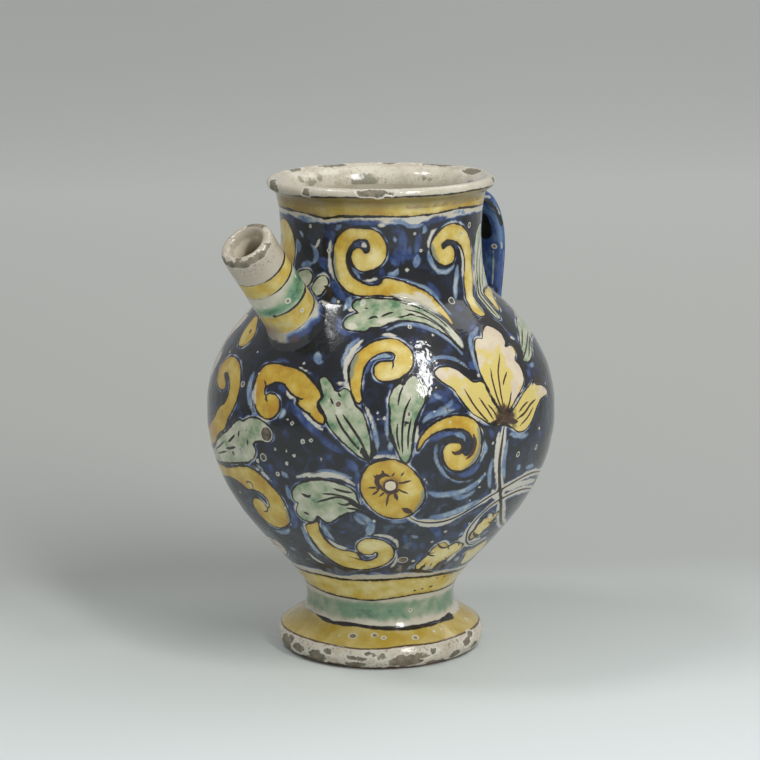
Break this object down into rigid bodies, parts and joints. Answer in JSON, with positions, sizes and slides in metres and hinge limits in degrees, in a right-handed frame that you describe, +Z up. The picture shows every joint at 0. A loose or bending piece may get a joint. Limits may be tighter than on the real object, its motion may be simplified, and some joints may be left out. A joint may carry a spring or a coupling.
{
  "type": "wet drug jar",
  "caption": "Pot-bellied glazed earthenware jar with a tube spout on its shoulder, a strap handle opposite, an everted lip for a tied cover and a hollow foot; it stores and pours syrups.",
  "frame": {"origin": "on the jar's axis, on the plane that the foot stands on", "axes": "+Z up along the jar's axis, -X towards the spout, +X towards the handle"},
  "size_m": [0.1942, 0.174, 0.238],
  "materials": {
    "foot_glaze": "glossy tin glaze with yellow and green bands, worn at the edge",
    "belly_glaze": "glossy tin glaze, dark blue ground with yellow and green scroll leaves",
    "neck_glaze": "glossy tin glaze, dark blue ground with yellow and green scroll leaves",
    "lip_glaze": "glossy cream tin glaze with a yellow band, worn at the edge",
    "spout_glaze": "glossy tin glaze with yellow and green bands, worn at the rim",
    "handle_glaze": "glossy blue tin glaze with dark strokes"
  },
  "bodies": {
    "root": {"foot": "foot_glaze", "belly": "belly_glaze", "neck": "neck_glaze", "lip": "lip_glaze", "spout": "spout_glaze", "spout_coil": "spout_glaze", "handle": "handle_glaze", "handle_coils": "handle_glaze"}
  },
  "joints": []
}
